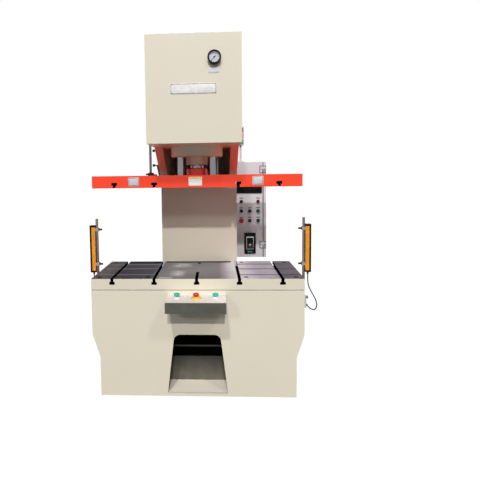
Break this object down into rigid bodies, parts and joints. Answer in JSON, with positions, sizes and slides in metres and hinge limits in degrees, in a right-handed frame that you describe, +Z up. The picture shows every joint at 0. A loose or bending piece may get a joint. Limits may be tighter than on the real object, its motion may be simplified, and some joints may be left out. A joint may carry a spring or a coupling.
{
  "type": "c-frame hydraulic punch press",
  "caption": "C-frame hydraulic press with a wide slotted table, a slotted ram plate on guide rods, light curtains, two-hand console and side control cabinet.",
  "frame": {"origin": "on the floor, under the ram's vertical axis", "axes": "+X to the machine's right as seen from the front, +Y to the back, +Z up"},
  "size_m": [1.6878, 1.578, 2.49],
  "materials": {
    "frame_paint": "smooth beige enamel, satin",
    "ram_paint": "orange-red enamel, satin",
    "collar_paint": "red enamel, gloss",
    "ground_steel": "ground and lightly oiled",
    "hard_chrome": "hard chromed and polished",
    "black_steel": "blackened",
    "post_steel": "plain drawn steel",
    "bronze": "turned",
    "cabinet_paint": "light grey powder coat",
    "black_plastic": "moulded, matt",
    "grey_plastic": "moulded, matt",
    "red_plastic": "moulded, gloss",
    "green_plastic": "moulded, gloss",
    "teal_plastic": "moulded, gloss",
    "yellow_plastic": "moulded, gloss",
    "lamp_plastic": "clear coloured, ribbed inside",
    "curtain_paint": "orange-yellow powder coat",
    "clamp_zinc": "cast, satin",
    "console_zinc": "galvanised sheet",
    "tank_paint": "grey-blue enamel",
    "motor_paint": "blue-grey enamel",
    "pipe_steel": "zinc plated",
    "cable_rubber": "smooth sheath, matt"
  },
  "bodies": {
    "frame": {"frame_side_left": "frame_paint", "frame_side_right": "frame_paint", "head_front_plate": "frame_paint", "head_top_plate": "frame_paint", "head_bottom_plate": "frame_paint", "column_front_plate": "frame_paint", "column_back_plate": "frame_paint", "base_front_plate": "frame_paint", "base_side_left": "frame_paint", "base_side_right": "frame_paint", "base_back_plates": "frame_paint", "base_top_plate": "frame_paint", "knee_liner": "frame_paint", "door_hinges": "clamp_zinc", "bolster_table": "ground_steel", "table_screws": "black_steel", "cylinder_body": "frame_paint", "rod_gland": "frame_paint", "guide_bushes": "bronze", "oil_tank": "tank_paint", "motor_body": "motor_paint", "hydraulic_pump": "black_steel", "valve_block": "pipe_steel", "hydraulic_pipes": "pipe_steel", "gauge_case": "black_plastic", "console_box": "console_zinc", "console_lid": "console_zinc", "button_collars": "yellow_plastic", "cabinet_body": "cabinet_paint", "control_panel": "grey_plastic", "tower_pole": "post_steel", "tower_lenses": "lamp_plastic", "limit_switches": "black_steel", "curtain_posts": "post_steel", "curtain_housings": "curtain_paint", "curtain_clamps": "clamp_zinc", "cable_boxes": "clamp_zinc", "curtain_cable_left": "cable_rubber", "curtain_cable_right": "cable_rubber"},
    "ram": {"piston_rod": "hard_chrome", "rod_collar": "collar_paint", "guide_rods": "hard_chrome", "ram_plate": "ram_paint", "striker_rod": "post_steel"},
    "needle": {"gauge_needle": "black_plastic"},
    "palm_left": {"palm_button_left": "green_plastic"},
    "palm_right": {"palm_button_right": "green_plastic"},
    "console_stop": {"console_stop": "red_plastic"},
    "cabinet_door": {"cabinet_door": "cabinet_paint", "screen_panel": "black_plastic", "keypad_unit": "black_plastic", "pilot_lamps": "red_plastic"},
    "selector": {"selector_knob": "black_plastic"},
    "cabinet_stop": {"cabinet_stop": "red_plastic"},
    "push_teal": {"push_teal": "teal_plastic"},
    "push_green_upper": {"push_green_upper": "green_plastic"},
    "push_red": {"push_red": "red_plastic"},
    "push_green_lower": {"push_green_lower": "green_plastic"},
    "rear_door": {"rear_door": "frame_paint"},
    "motor_fan": {"motor_fan": "black_plastic"}
  },
  "joints": [
    {"name": "ram_slide", "type": "slide", "parent": "frame", "child": "ram", "axis": [0, 0, -1], "range_m": [0, 0.2]},
    {"name": "gauge_needle_turn", "type": "hinge", "parent": "frame", "child": "needle", "pos_m": [0.138, -0.474, 2.33], "axis": [0, 1, 0], "range_deg": [0, 270], "stiffness_Nm_per_rad": 0.0004},
    {"name": "palm_left_press", "type": "slide", "parent": "frame", "child": "palm_left", "axis": [0, 0, -1], "range_m": [0, 0.005], "stiffness_N_per_m": 800},
    {"name": "palm_right_press", "type": "slide", "parent": "frame", "child": "palm_right", "axis": [0, 0, -1], "range_m": [0, 0.005], "stiffness_N_per_m": 800},
    {"name": "console_stop_press", "type": "slide", "parent": "frame", "child": "console_stop", "axis": [0, 0, -1], "range_m": [0, 0.005], "stiffness_N_per_m": 800},
    {"name": "cabinet_door_swing", "type": "hinge", "parent": "frame", "child": "cabinet_door", "pos_m": [0.569, 0.615, 1.26], "axis": [0, 0, 1], "range_deg": [0, 110]},
    {"name": "selector_turn", "type": "hinge", "parent": "cabinet_door", "child": "selector", "pos_m": [0.371, 0.622, 1.25], "axis": [0, 1, 0], "range_deg": [-45, 45]},
    {"name": "cabinet_stop_press", "type": "slide", "parent": "cabinet_door", "child": "cabinet_stop", "axis": [0, 1, 0], "range_m": [0, 0.004], "stiffness_N_per_m": 600},
    {"name": "push_teal_press", "type": "slide", "parent": "cabinet_door", "child": "push_teal", "axis": [0, 1, 0], "range_m": [0, 0.004], "stiffness_N_per_m": 500},
    {"name": "push_green_upper_press", "type": "slide", "parent": "cabinet_door", "child": "push_green_upper", "axis": [0, 1, 0], "range_m": [0, 0.004], "stiffness_N_per_m": 500},
    {"name": "push_red_press", "type": "slide", "parent": "cabinet_door", "child": "push_red", "axis": [0, 1, 0], "range_m": [0, 0.004], "stiffness_N_per_m": 500},
    {"name": "push_green_lower_press", "type": "slide", "parent": "cabinet_door", "child": "push_green_lower", "axis": [0, 1, 0], "range_m": [0, 0.004], "stiffness_N_per_m": 500},
    {"name": "rear_door_swing", "type": "hinge", "parent": "frame", "child": "rear_door", "pos_m": [-0.212, 1.02, 0.725], "axis": [0, 0, 1], "range_deg": [0, 110]},
    {"name": "motor_fan_turn", "type": "hinge", "parent": "frame", "child": "motor_fan", "pos_m": [-0.06, 0.8, 0.65], "axis": [0, 1, 0], "continuous": true}
  ]
}
